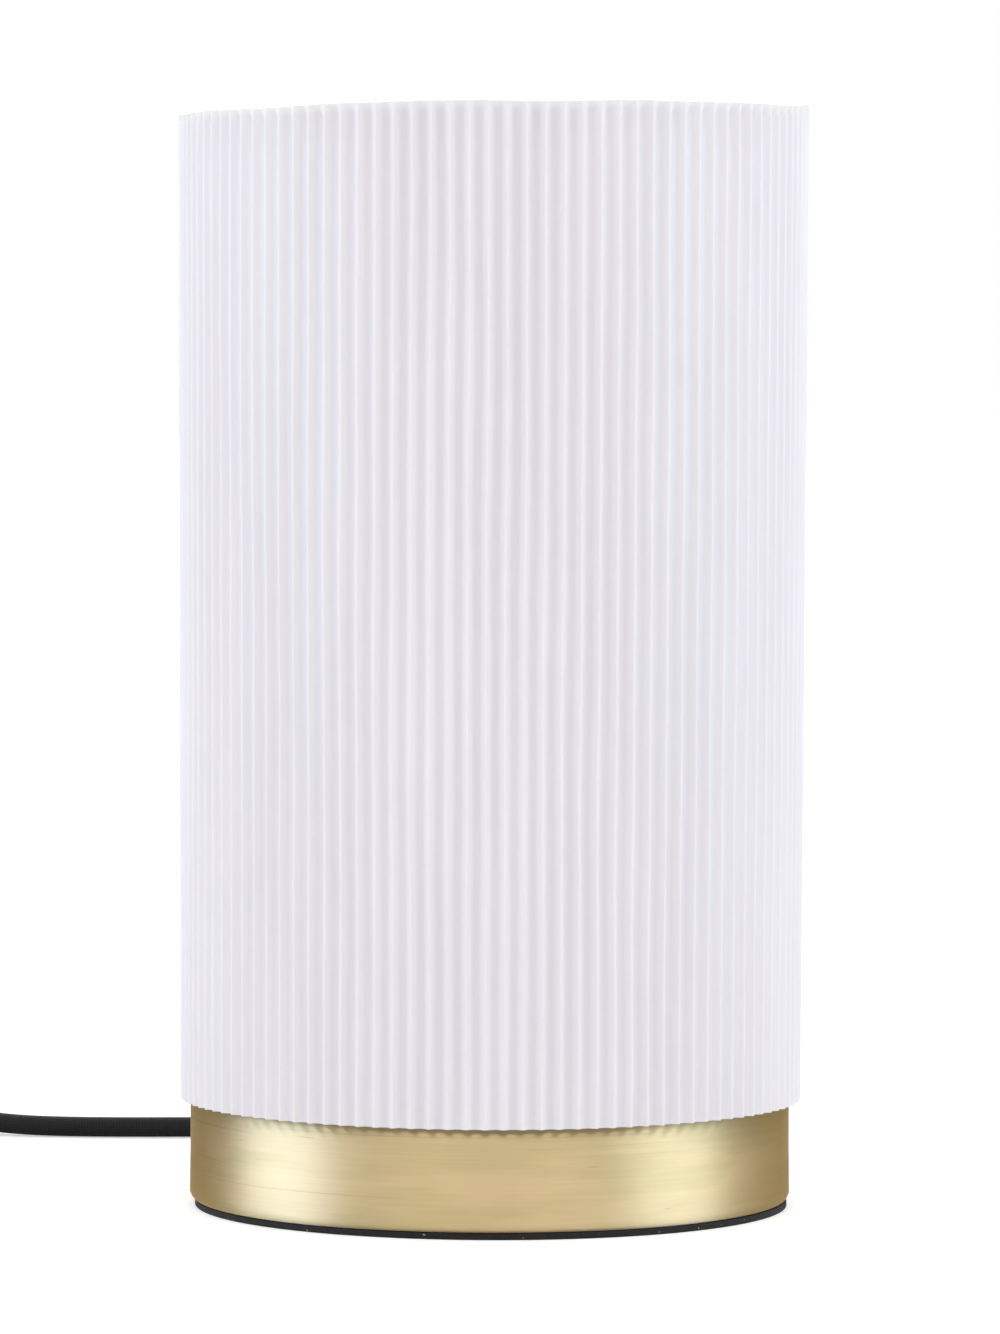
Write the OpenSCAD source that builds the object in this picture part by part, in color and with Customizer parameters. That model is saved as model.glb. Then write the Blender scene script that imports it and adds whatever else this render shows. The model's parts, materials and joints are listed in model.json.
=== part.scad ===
// Cylindrical table lamp: a ribbed translucent sleeve standing over a round brass base, with a
// screw bulb in an upright lampholder, and a textile-covered lead with a rocker switch and a flat
// two-pin plug. Millimetres. The origin is the centre of the foot on the table, +Z is up and the
// lead leaves the base at the back, towards +Y.

/* [Base] */
// Outside diameter of the brass cup
base_d = 140.4; // [125:0.1:160]
// Height of the cup's closed top above the table
base_h = 38; // [36:0.5:48]
// Sheet thickness of the cup
cup_wall = 1.2; // [0.8:0.1:2]
// Outside radius of the curl at the cup's lower edge
curl_r = 1.8; // [1.5:0.1:2.6]
// Thickness of the foam pad under the base
pad_t = 1.5; // [1:0.1:2.8]
// How far the pad stands back from the cup's outside
pad_inset = 0.6; // [0.3:0.1:4]
// Thickness of the steel closing plate
plate_t = 1.2; // [0.8:0.1:2]
// Thickness of the cast ballast disc
ballast_t = 8; // [6:0.5:11]
// Gap all round the ballast inside the cup
ballast_gap = 4; // [2:0.5:8]
// Diameter of the ballast's bosses for the plate screws
boss_d = 12; // [10:0.5:14]
// Distance of the plate screws from the centre
screw_circle_r = 46; // [38:1:49]

/* [Shade] */
// Height of the shade
shade_h = 230; // [200:1:260]
// Length of the shade's skirt that covers the cup
shade_overlap = 12.4; // [9:0.1:14]
// Number of ribs round the shade
rib_count = 107; // [80:1:120]
// Height of a rib above the valleys beside it
rib_depth = 1.5; // [0.8:0.1:2.2]
// Thickness of the ribbed plastic sheet
sheet_t = 0.6; // [0.5:0.05:0.9]
// Sharpness of the rib crests: 1 is a plain wave
rib_sharpness = 2.4; // [1:0.1:3.5]
// Gap between the skirt and the cup
skirt_gap = 0.3; // [0.3:0.05:0.5]
// Thickness of the wire of the two shade rings
ring_wire_d = 3; // [2:0.1:3.6]
// Distance of the upper ring below the shade's top edge
top_ring_drop = 5; // [3:0.5:12]

/* [Lampholder] */
// Outside diameter of the lampholder
holder_d = 38; // [37:0.5:44]
// Height of the lampholder's domed lower half
dome_h = 18; // [17:0.5:24]
// Wall of the lampholder's plastic shells
holder_wall = 2; // [1.6:0.1:2.2]
// Thickness of the insulator that carries the contacts
insulator_t = 10; // [8:0.5:13]
// How far the lampholder's rim stands above the bulb's cap
rim_over = 2.5; // [1:0.5:4]
// Outside diameter of the hollow nipple
nipple_d = 10; // [9:0.1:11]
// Bore of the hollow nipple
nipple_bore = 7.6; // [6.5:0.1:8]

/* [Bulb] */
// Diameter of the bulb's globe
bulb_d = 60; // [52:1:68]
// Height of the bulb from its contact to the top of the globe
bulb_h = 105; // [96:1:115]
// Diameter of the screw cap
cap_d = 26.4; // [26:0.1:26.6]
// Length of the screw cap's metal shell
cap_shell_h = 17.5; // [16:0.5:18]

/* [Lead] */
// Diameter of the textile-covered lead
cord_d = 5; // [4.6:0.1:5]
// Outside diameter of the outlet's collar, where its strain relief begins
collar_d = 10.8; // [10:0.1:11.4]
// Width of the tie round the coil
tie_w = 8; // [6:0.5:9]
// Thickness of the tie's band
tie_t = 0.7; // [0.5:0.05:0.75]

/* [Rocker switch] */
// Length of the switch body between its strain reliefs
switch_l = 48; // [46:1:50]
// Width of the switch body
switch_w = 25; // [22:0.5:30]
// Height of the switch cover's crown above the table
switch_h = 17; // [16:0.5:20]
// Length of the rocker
rocker_l = 19; // [15:0.5:20]
// Width of the rocker
rocker_w = 10; // [7:0.5:12]
// Tilt of the rocker either side of level
rocker_tilt = 9; // [6:0.5:10]

/* [Plug] */
// Width of the plug body
plug_w = 35.3; // [33:0.1:37]
// Thickness of the plug body
plug_t = 13.7; // [12:0.1:14]
// Length of the plug body
plug_l = 36; // [33:0.5:42]
// Distance between the plug's pins
pin_pitch = 18.6; // [17.5:0.1:19]
// Diameter of a plug pin
pin_d = 4; // [3.8:0.1:4.2]
// Length of a plug pin
pin_l = 19; // [17:0.5:20]

/* [Hidden] */
$fn = 96;
eps = 0.01;
past = 1;              // how far a cutting shape runs past the face that it cuts
slip = 0.1;            // radial clearance of a bolt or a tube in a plain hole
seat_gap = 0.3;        // from a piece that lifts off to what it rests on
clear = 0.3;           // between two fixed pieces that pass close by each other

// Lead: the points were chosen by hand along the table
cord_r = cord_d / 2;
cord_sides = 8;
lead_points = [
    [0, 70, 10], [0, 81, 10], [0, 92, 10], [0, 98, 9.8], [-2, 107, 8.8], [-6, 116, 7.2],
    [-13, 124, 5.4], [-22, 130.5, 3.9], [-32, 135, 3], [-43, 137.5, 2.6], [-55, 138.5, 2.6],
    [-68, 138.5, 2.6], [-81, 138, 2.6], [-94, 137.5, 2.6], [-107, 138.3, 2.6], [-118, 140, 2.75],
    [-127, 142.5, 3.3], [-135, 144.8, 4.7], [-141, 145.9, 6.1], [-146, 146, 6.5]
];
run_points = [
    [-206, 146, 6.5], [-211, 146, 6.4], [-220, 144, 5.4], [-228, 139, 4.2], [-233.5, 131, 3.5],
    [-236, 121, 3.4], [-236, 110, 3.4], [-236, 99, 3.4], [-236, 89, 3.4], [-236, 79, 3.4]
];
tail_points = [
    [-236, 69, 19.9], [-236, 64, 19.9], [-236, 55, 18.2], [-236, 46, 15], [-236, 37, 11.6],
    [-236, 28, 8.8], [-236, 20, 7.2], [-236, 12, 7]
];
coil_centre = [-202, 74];
coil_out_r = 34;
coil_z = 3.4;                                // centre of the lowest turns, over the tie's band
coil_step = 5.5;                             // from turn to turn and from layer to layer
coil_layers = 4;
turns_per_layer = 2;
rings_per_turn = 24;
coil_sides = 6;
stub = 5;                                    // straight end of the coil, one diameter long
climb = 0.25;                                // turns before and after a reversal that climb
outlet_z = lead_points[0].z;
inner_end = lead_points[0].y;

// Base, from the table upwards
base_r = base_d / 2;
plate_top = pad_t + plate_t;
lip_gap = 0.1;         // from the pad to the cup's curled edge
cup_foot = pad_t + lip_gap;
lip_r = base_r - curl_r;
lip_top = cup_foot + curl_r;
plate_r = lip_r - clear;
cup_inside_r = base_r - cup_wall;
cup_ceiling = base_h - cup_wall;
shoulder_r = 1.4;
ballast_r = cup_inside_r - ballast_gap;
ballast_z = cup_ceiling - ballast_t;
boss_count = 3;
boss_angle = 30;       // keeps the bosses off the lead, which runs at 90 degrees
screw_r = 2;           // M4
screw_head_r = 3.9;
screw_l = 8;
nipple_r = nipple_d / 2;
washer_r = 12;
washer_t = 1.2;
nut_flats = 14;
nut_t = 3.5;
washer_z = ballast_z - washer_t;
nut_z = washer_z - nut_t;
nipple_z = nut_z - 1;

// Outlet in the cup's back wall: inner flange, neck and outer collar with its strain relief
flange_t = 2;
flange_r = outlet_z - max(plate_top, lip_top) - clear;
flange_y = cup_inside_r - 0.5;               // flat outer face of the flange, inside the round wall
collar_r = collar_d / 2;
neck_r = collar_r - 0.8;
relief_tip_r = cord_r + 1;
relief_tip_y = 92;
groove_count = 5;                            // rings round each strain relief, which let it bend
groove_w = 1.3;
groove_depth = 0.7;
groove_pitch = 3.2;
groove_start = 4;                            // from the thick end of the relief to the first groove
stop_y = 50;                                 // collar that keeps the lead from being pulled out
stop_l = 5;
stop_r = cord_r + 2;
elbow_r = nipple_z - outlet_z;

// Shade
shade_z = base_h - shade_overlap;
shade_top = shade_z + shade_h;
sheet_in_r = base_r + skirt_gap;             // inside the valleys
rib_points = 8;                              // points of the outline in each rib
ring_wire_r = ring_wire_d / 2;
ring_r = sheet_in_r - clear - ring_wire_r;

// Lampholder, standing on the cup
holder_r = holder_d / 2;
dome_z = base_h;
dome_top = dome_z + dome_h;
dome_rim_h = 6;
dome_rise = dome_h - dome_rim_h;
nipple_top = dome_z + dome_h / 2;
insulator_top = dome_top + insulator_t;
insulator_r = holder_r - holder_wall - 0.2;
ledge = 1;
cap_r = cap_d / 2;
shell_t = 0.5;
shell_in_r = cap_r + seat_gap;
shell_out_r = shell_in_r + shell_t;
contact_t = 3.6;
contact_top = insulator_top + contact_t;
strip_t = 0.6;
terminal_x = 9;
terminal_w = 6;
terminal_h = 5;
terminal_z = dome_top - terminal_h / 2;
terminal_screw_r = 1.5;
post_r = 1.6;
post_h = 6;
jacket_top = nipple_top + 1;
grip_h = 12;                                 // plain lower band of the skirt, where a hand holds it
core_r = 1.1;
core_x = 1.3;
core_rise = 1.6;

// Bulb, just off the centre contact
bulb_z = contact_top + seat_gap;
button_t = 2.2;
button_r = 4.8;
cone_t = 4;
cap_z = bulb_z + button_t + cone_t;
cap_top = cap_z + cap_shell_h;
cap_wall = 0.6;
cap_hole_r = 6;
shell_top = cap_top - 0.5;
holder_top = cap_top + rim_over;
body_neck_h = 5;
body_wall = 3;
globe_r = bulb_d / 2;
globe_z = bulb_z + bulb_h - globe_r;
globe_wall = 1.4;
seam_r = globe_r * 0.9;                      // where the globe meets the body
seam_z = globe_z - sqrt(pow(globe_r, 2) - pow(seam_r, 2));
board_t = 1.6;
board_z = seam_z - board_t;
driver_w = 14;
driver_z = cap_z + 4;
capacitor_r = 4;
capacitor_l = 7;
choke_l = 10;
choke_w = 6;
choke_h = 8;
part_gap = 2;                                // between the parts on the driver board

// Rocker switch, lying on the table along X
switch_x = -176;
switch_y = 146;
switch_end = 30;                             // from the middle of the switch to its cord faces
parting_z = 6.5;                             // the cord's centre line, where the halves meet
nozzle_r = 5;
nozzle_tip_r = 3.4;
pivot_drop = 5;                              // pivot below the crown
pivot_z = switch_h - pivot_drop;
rocker_pin_r = 1;
running_fit = 0.05;
rocker_rise = 6.2;                           // raised ends of the rocker above the pivot
rocker_foot = 2.6;                           // foot of the rocker below the pivot
pocket_gap = 0.4;
pocket_l = 2 * (rocker_l / 2 * cos(rocker_tilt) + rocker_rise * sin(rocker_tilt) + pocket_gap);
pocket_w = rocker_w + 2 * pocket_gap;
pocket_z = pivot_z - rocker_foot - 2 * pocket_gap;
pin_grip = 3;                                // length of pin held at each side of the pocket
crown_r = 34;
crown_long_r = 102;
bay_l = 28;
bay_w = 12;
bay_z = 2;
block = [6, 5, 3.4];
block_x = 9;
bridge_w = 4;
switch_screw_x = 18;
switch_screw_r = 1.4;
switch_screw_head_r = 2.6;
switch_screw_sink = 2;
switch_screw_z = 0.4;
switch_screw_top = pivot_z;

// Plug, lying on the table along Y with its pins towards -Y
plug_x = -236;
plug_z = 7;
plug_entry = 12;                             // where the lead enters the plug's strain relief
plug_relief_l = 18;
plug_relief_r = 5.2;
plug_bevel = 1.5;
plug_face = plug_entry - plug_relief_l - plug_l;
sleeve_l = 10;
sleeve_step = 0.2;
sleeve_t = 0.3;
pin_neck_r = pin_d / 2 - sleeve_step - sleeve_t;

// Outline of the ribbed sheet where its valleys lie at radius r
function rib_wave(a) = rib_depth * pow(0.5 + 0.5 * cos(a), rib_sharpness);
function rib_outline(r) = [
    for (i = [0 : rib_count * rib_points - 1])
        let (a = i * 360 / (rib_count * rib_points), d = r + rib_wave(a * rib_count))
        [d * cos(a), d * sin(a)]
];

// Sweep of a round tube through a list of points
function unit(v) = v / norm(v);
function heading(p, i) = unit(p[min(i + 1, len(p) - 1)] - p[max(i - 1, 0)]);
function tube_ring(p, i, r, sides) =
    let (along = heading(p, i), side = unit(cross([0, 0, 1], along)), up = cross(along, side))
    [
        for (k = [0 : sides - 1])
            let (a = (k + 0.5) * 360 / sides)
            p[i] + r * (cos(a) * side + sin(a) * up)
    ];

module tube(p, r, sides) {
    rings = len(p);
    points = [for (i = [0 : rings - 1]) each tube_ring(p, i, r, sides)];
    walls = [
        for (i = [0 : rings - 2], k = [0 : sides - 1])
            let (a = i * sides + k, b = i * sides + (k + 1) % sides)
            each [[a, b + sides, b], [a, a + sides, b + sides]]
    ];
    first = [for (k = [1 : sides - 2]) [0, k, k + 1]];
    last = [for (k = [1 : sides - 2]) let (o = (rings - 1) * sides) [o, o + k + 1, o + k]];
    polyhedron(points = points, faces = concat(walls, first, last), convexity = 10);
}

// Loops of the coil: in and out again, a layer higher at each reversal
coil_turns = coil_layers * turns_per_layer;
function layer_of(t) = min(floor(t / turns_per_layer), coil_layers - 1);
function loop_r(t) =
    let (s = t - layer_of(t) * turns_per_layer)
    coil_out_r - coil_step * (layer_of(t) % 2 == 0 ? s : turns_per_layer - s);
function loop_z(t) =
    let (k = max(1, min(coil_layers - 1, round(t / turns_per_layer))), s = t - k * turns_per_layer)
    coil_z + coil_step * (k - 1 + max(0, min(1, (s + climb) / (2 * climb))));
function loop_point(t) =
    [coil_centre.x - loop_r(t) * cos(360 * t), coil_centre.y - loop_r(t) * sin(360 * t), loop_z(t)];
loops = [for (i = [0 : coil_turns * rings_per_turn]) loop_point(i / rings_per_turn)];
coil_points = concat([loops[0] + [0, stub, 0]], loops, [loops[len(loops) - 1] - [0, stub, 0]]);
apart = rings_per_turn / 2;                  // points nearer than this along the coil are skipped
coil_gap = min([
    for (i = [0 : len(coil_points) - 1], j = [i + apart : 1 : len(coil_points) - 1])
        norm(coil_points[i] - coil_points[j])
]) - cord_d;
coil_in_r = coil_out_r - coil_step * turns_per_layer;
coil_top = coil_z + coil_step * (coil_layers - 1) + cord_r;

function sum(v) = v * [for (i = v) 1];
function route_length(p) = sum([for (i = [1 : len(p) - 1]) norm(p[i] - p[i - 1])]);
lead_total = route_length(lead_points) + 2 * switch_end + route_length(run_points)
    + route_length(coil_points) + route_length(tail_points);

// Copies of a piece at the plate screws
module at_bosses() {
    for (i = [0 : boss_count - 1]) rotate([0, 0, boss_angle + i * 360 / boss_count])
        translate([screw_circle_r, 0, 0]) children();
}

// A ring or tube standing on the XY plane
module pipe(outer_r, inner_r, h) {
    difference() {
        cylinder(r = outer_r, h = h);
        translate([0, 0, -past]) cylinder(r = inner_r, h = h + 2 * past);
    }
}

// A tapered strain relief standing on the XY plane, with its grooves
module strain_relief(root_r, tip_r, h) {
    rotate_extrude() difference() {
        polygon([[0, 0], [root_r, 0], [tip_r, h], [0, h]]);
        for (z = [groove_start : groove_pitch : groove_start + (groove_count - 1) * groove_pitch])
            if (z + 2 * groove_w < h)
                translate([root_r + (tip_r - root_r) * z / h - groove_depth, z]) square([root_r, groove_w]);
    }
}

// Half section of the drawn cup: closed top, straight wall and curled-in lower edge
module cup_section() {
    difference() {
        union() {
            translate([0, cup_foot]) square([lip_r, base_h - cup_foot]);
            translate([0, lip_top]) square([base_r, base_h - lip_top - shoulder_r]);
            translate([0, base_h - 2 * shoulder_r]) square([base_r - shoulder_r, 2 * shoulder_r]);
            translate([lip_r, lip_top]) circle(r = curl_r);
            translate([base_r - shoulder_r, base_h - shoulder_r]) circle(r = shoulder_r);
        }
        translate([-past, lip_top]) square([cup_inside_r + past, cup_ceiling - lip_top]);
        translate([-past, cup_foot - past]) square([lip_r + past, curl_r + 2 * past]);
        translate([-past, cup_foot]) square([nipple_r + slip + past, base_h]);
    }
}

module base_cup() {
    color("darkkhaki") difference() {
        rotate_extrude() cup_section();
        translate([0, cup_inside_r - 2 * past, outlet_z]) rotate([-90, 0, 0])
            cylinder(r = neck_r + slip, h = cup_wall + 4 * past);
    }
}

module foot_pad() {
    color("dimgray") cylinder(r = base_r - pad_inset, h = pad_t);
}

// A countersunk shape through the closing plate, wider than the screw by a clearance
module countersink(gap) {
    cylinder(r1 = screw_head_r + gap, r2 = screw_r + gap, h = plate_t + eps);
}

module closing_plate() {
    color("silver") translate([0, 0, pad_t]) difference() {
        cylinder(r = plate_r, h = plate_t);
        at_bosses() {
            translate([0, 0, -past]) cylinder(r = screw_r + slip, h = plate_t + 2 * past);
            translate([0, 0, -eps]) countersink(slip);
        }
    }
}

module plate_screws() {
    color("gray") translate([0, 0, pad_t]) at_bosses() {
        countersink(0);
        cylinder(r = screw_r, h = screw_l);
    }
}

module ballast() {
    color("slategray") difference() {
        union() {
            translate([0, 0, ballast_z]) cylinder(r = ballast_r, h = ballast_t);
            at_bosses() translate([0, 0, plate_top]) cylinder(d = boss_d, h = ballast_z - plate_top + eps);
        }
        translate([0, 0, ballast_z - past]) cylinder(r = nipple_r + slip, h = ballast_t + 2 * past);
        at_bosses() translate([0, 0, plate_top - past]) cylinder(r = screw_r, h = screw_l + past);
    }
}

module nipple() {
    color("goldenrod") translate([0, 0, nipple_z]) pipe(nipple_r, nipple_bore / 2, nipple_top - nipple_z);
}

module nipple_washer() {
    color("silver") translate([0, 0, washer_z]) pipe(washer_r, nipple_r + slip, washer_t);
}

module nipple_nut() {
    color("goldenrod") translate([0, 0, nut_z]) difference() {
        cylinder(d = nut_flats / cos(30), h = nut_t, $fn = 6);
        translate([0, 0, -past]) cylinder(r = nipple_r, h = nut_t + 2 * past);
    }
}

module lead_outlet() {
    inner = flange_y - flange_t;
    color("black") translate([0, 0, outlet_z]) rotate([-90, 0, 0]) difference() {
        union() {
            translate([0, 0, inner]) cylinder(r = flange_r, h = flange_t);
            translate([0, 0, inner]) cylinder(r = neck_r, h = base_r - inner + eps);
            translate([0, 0, base_r]) strain_relief(collar_r, relief_tip_r, relief_tip_y - base_r);
        }
        cylinder(r = cord_r, h = relief_tip_y + past);
    }
}

module lead_stop() {
    color("black") translate([0, stop_y, outlet_z]) rotate([-90, 0, 0]) pipe(stop_r, cord_r, stop_l);
}

// The lead inside the lamp: along the base, round an elbow and up through the nipple
module inner_lead() {
    color("black") {
        translate([0, elbow_r, outlet_z]) rotate([-90, 0, 0]) cylinder(r = cord_r, h = inner_end - elbow_r);
        translate([0, elbow_r, nipple_z]) rotate([90, 0, 90]) rotate([0, 0, 180])
            rotate_extrude(angle = 90) translate([elbow_r, 0]) circle(r = cord_r);
        translate([0, 0, nipple_z]) cylinder(r = cord_r, h = jacket_top - nipple_z);
    }
}

module holder_dome() {
    color("black") rotate_extrude() difference() {
        union() {
            translate([0, dome_z]) square([holder_r - dome_rise, dome_h]);
            translate([0, dome_top - dome_rim_h]) square([holder_r, dome_rim_h]);
            intersection() {
                translate([holder_r - dome_rise, dome_z + dome_rise]) circle(r = dome_rise);
                translate([0, dome_z]) square([holder_r, dome_h - past]);
            }
        }
        translate([-past, dome_z - past]) square([nipple_r + past, dome_h]);
        translate([-past, nipple_top]) square([insulator_r - ledge + past, dome_h]);
    }
}

module holder_skirt() {
    band_top = dome_top + grip_h;
    band_step = 0.8;
    rim_in = 2.4;
    bevel = 1;
    color("black") rotate_extrude() difference() {
        polygon([
            [0, dome_top], [holder_r, dome_top], [holder_r, band_top],
            [holder_r - band_step, band_top + bevel], [holder_r - rim_in + bevel, holder_top - bevel],
            [holder_r - rim_in, holder_top], [0, holder_top]
        ]);
        translate([-past, dome_top - past]) square([insulator_r + slip + past, insulator_t + past + clear]);
        translate([-past, dome_top]) square([insulator_r - ledge + past, shell_top - dome_top]);
        translate([-past, dome_top]) square([shell_out_r + seat_gap + past, holder_top]);
    }
}

module holder_insulator() {
    color("white") translate([0, 0, dome_top]) difference() {
        cylinder(r = insulator_r, h = insulator_t);
        for (s = [-1, 1]) translate([s * terminal_x, 0, -past])
            cylinder(r = post_r + slip, h = post_h + past);
    }
}

module screw_shell() {
    color("goldenrod") translate([0, 0, insulator_top])
        pipe(shell_out_r, shell_in_r, shell_top - insulator_top);
}

// Folded spring tongue under the bulb
module centre_contact() {
    foot = 10;
    arm = contact_t - strip_t;
    width = 6;
    toe = 1.5;
    web = 1.4;
    rise_x = 3;
    top_x = 7;
    color("goldenrod") translate([-foot / 2, width / 2, insulator_top]) rotate([90, 0, 0])
        linear_extrude(width) polygon([
            [0, 0], [foot, 0], [foot, strip_t], [rise_x, strip_t], [top_x, arm], [foot - toe, arm],
            [foot - toe, contact_t], [toe, contact_t], [toe, arm], [top_x - web, arm],
            [rise_x - web, strip_t], [0, strip_t]
        ]);
}

module terminal_blocks() {
    color("goldenrod") for (s = [-1, 1]) translate([s * terminal_x, 0, terminal_z]) difference() {
        union() {
            cube([terminal_w, terminal_w, terminal_h], center = true);
            cylinder(r = post_r, h = terminal_h / 2 + post_h);
        }
        rotate([0, s * 90, 0]) cylinder(r = terminal_screw_r, h = terminal_w);
    }
}

module terminal_screws() {
    color("silver") for (s = [-1, 1]) translate([s * terminal_x, 0, terminal_z]) rotate([0, s * 90, 0]) {
        cylinder(r = terminal_screw_r, h = terminal_w / 2);
        translate([0, 0, terminal_w / 2]) cylinder(r = terminal_screw_r + 0.7, h = 1.4);
    }
}

// Two insulated cores from the end of the jacket to the terminals
module core_wires() {
    bend_z = jacket_top + core_rise;
    bend_r = terminal_z - bend_z;
    reach = terminal_x - terminal_w / 2 - core_x - bend_r;
    for (turn = [0, 180]) color("saddlebrown") rotate([0, 0, turn]) translate([core_x, 0, 0]) {
        translate([0, 0, jacket_top]) cylinder(r = core_r, h = core_rise);
        translate([bend_r, 0, bend_z]) rotate([90, 0, 0]) rotate([0, 0, 90])
            rotate_extrude(angle = 90) translate([bend_r, 0]) circle(r = core_r);
        translate([bend_r, 0, terminal_z]) rotate([0, 90, 0]) cylinder(r = core_r, h = reach);
    }
}

module bulb_cap() {
    color("silver") translate([0, 0, cap_z]) difference() {
        cylinder(r = cap_r, h = cap_shell_h);
        translate([0, 0, cap_wall]) cylinder(r = cap_r - cap_wall, h = cap_shell_h);
        translate([0, 0, -past]) cylinder(r = cap_hole_r, h = 2 * past);
    }
}

module bulb_insulator() {
    step = 0.6;
    rim_in = 1.6;
    color("black") translate([0, 0, bulb_z + button_t])
        cylinder(r1 = button_r + step, r2 = cap_r - rim_in, h = cone_t);
}

module bulb_contact() {
    bevel = button_t / 2;
    color("silver") translate([0, 0, bulb_z]) {
        cylinder(r1 = button_r - bevel, r2 = button_r, h = bevel);
        translate([0, 0, bevel]) cylinder(r = button_r, h = button_t - bevel);
    }
}

// Plastic body from the cap to the globe, hollow and with a ledge for the board
module bulb_body() {
    collar = cap_r + 0.4;
    flare = cap_r + 3.5;
    neck_top = cap_top + body_neck_h;
    cone_z = neck_top + 8;
    color("white") rotate_extrude() difference() {
        polygon([
            [0, cap_top], [cap_r, cap_top], [collar, cap_top + 0.6], [collar, neck_top],
            [flare, cone_z], [seam_r, seam_z], [0, seam_z]
        ]);
        polygon([
            [-past, cap_top - past], [cap_r - body_wall, cap_top - past], [cap_r - body_wall, neck_top],
            [flare - body_wall, cone_z], [seam_r - body_wall, board_z], [-past, board_z]
        ]);
        translate([-past, board_z]) square([seam_r - body_wall / 2 + past, board_t + past]);
    }
}

module bulb_globe() {
    color("white") rotate_extrude() intersection() {
        difference() {
            translate([0, globe_z]) circle(r = globe_r);
            translate([0, globe_z]) circle(r = globe_r - globe_wall);
        }
        translate([0, seam_z]) square([globe_r + past, bulb_h]);
    }
}

// Round board on the body's ledge, with a ring of light-emitting chips
module led_board() {
    chips = 12;
    chip = [3.5, 2.8, 0.8];
    color("whitesmoke") {
        translate([0, 0, board_z]) cylinder(r = seam_r - body_wall / 2 - slip, h = board_t);
        for (i = [0 : chips - 1]) rotate([0, 0, i * 360 / chips])
            translate([seam_r * 0.6, 0, seam_z + chip.z / 2 - eps]) cube(chip, center = true);
    }
}

// Driver board on edge between the cap and the round board, with its capacitor and coil
module led_driver() {
    capacitor_z = driver_z + part_gap + capacitor_r;
    color("seagreen") translate([-driver_w / 2, -board_t / 2, driver_z])
        cube([driver_w, board_t, board_z - driver_z - clear]);
    color("darkslategray") {
        translate([0, 0, capacitor_z]) rotate([-90, 0, 0]) cylinder(r = capacitor_r, h = capacitor_l);
        translate([-choke_l / 2, -choke_w, capacitor_z + capacitor_r + part_gap])
            cube([choke_l, choke_w, choke_h]);
    }
}

module shade_sleeve() {
    color("white") translate([0, 0, shade_z]) linear_extrude(shade_h) difference() {
        polygon(rib_outline(sheet_in_r + sheet_t));
        polygon(rib_outline(sheet_in_r));
    }
}

module wire_ring(z) {
    color("white") translate([0, 0, z]) rotate_extrude() translate([ring_r, 0]) circle(r = ring_wire_r);
}

module seat_ring() {
    wire_ring(base_h + seat_gap + ring_wire_r);
}

module top_ring() {
    wire_ring(shade_top - top_ring_drop);
}

module cord_lead() {
    color("black") tube(lead_points, cord_r, cord_sides);
}

module cord_run() {
    color("black") tube(run_points, cord_r, cord_sides);
}

module cord_coil() {
    echo(str("least gap between the coil's loops: ", coil_gap, " mm"));
    echo(str("whole lead from the cup to the plug: ", lead_total, " mm"));
    color("black") tube(coil_points, cord_r, coil_sides);
}

module cord_tail() {
    color("black") tube(tail_points, cord_r, cord_sides);
}

// Band round the coil's turns, on the side away from the coil's two ends
module coil_tie() {
    near = sqrt(pow(coil_in_r + coil_step / 2 - cord_r, 2) - pow(tie_w / 2, 2)) - seat_gap;
    far = coil_out_r - coil_step / 2 + cord_r + seat_gap;
    low = coil_z - cord_r - slip;
    high = coil_top + seat_gap;
    color("dimgray") translate([coil_centre.x, coil_centre.y, 0]) difference() {
        translate([near - tie_t, -tie_w / 2, low - tie_t])
            cube([far - near + 2 * tie_t, tie_w, high - low + 2 * tie_t]);
        translate([near, -tie_w, low]) cube([far - near, 2 * tie_w, high - low]);
    }
}

// Plan of the switch, with straight sides and round ends, drawn in by an inset
module switch_plan(inset = 0) {
    end_x = (switch_l - switch_w) / 2;
    square([2 * end_x, switch_w - 2 * inset], center = true);
    for (s = [-1, 1]) translate([s * end_x, 0]) circle(r = switch_w / 2 - inset);
}

// The two tapered ends that grip the lead, from height z0 up to z1
module switch_nozzles(z0, z1) {
    root = switch_l / 2 - 1;
    intersection() {
        for (s = [-1, 1]) translate([s * root, 0, parting_z]) rotate([0, s * 90, 0])
            cylinder(r1 = nozzle_r, r2 = nozzle_tip_r, h = switch_end - root);
        translate([-switch_end, -switch_w, z0]) cube([2 * switch_end, 2 * switch_w, z1 - z0]);
    }
}

module at_switch_screws() {
    for (s = [-1, 1]) translate([s * switch_screw_x, 0, 0]) children();
}

module switch_base() {
    chamfer = 1;
    color("black") translate([switch_x, switch_y, 0]) difference() {
        union() {
            linear_extrude(chamfer) switch_plan(chamfer);
            translate([0, 0, chamfer]) linear_extrude(parting_z - chamfer) switch_plan();
            switch_nozzles(0, parting_z);
        }
        translate([-bay_l / 2, -bay_w / 2, bay_z]) cube([bay_l, bay_w, parting_z]);
        at_switch_screws() {
            translate([0, 0, -past]) cylinder(r = switch_screw_r + slip, h = parting_z + 2 * past);
            translate([0, 0, -past]) cylinder(r = switch_screw_head_r + slip, h = switch_screw_sink + past);
        }
    }
}

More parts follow.
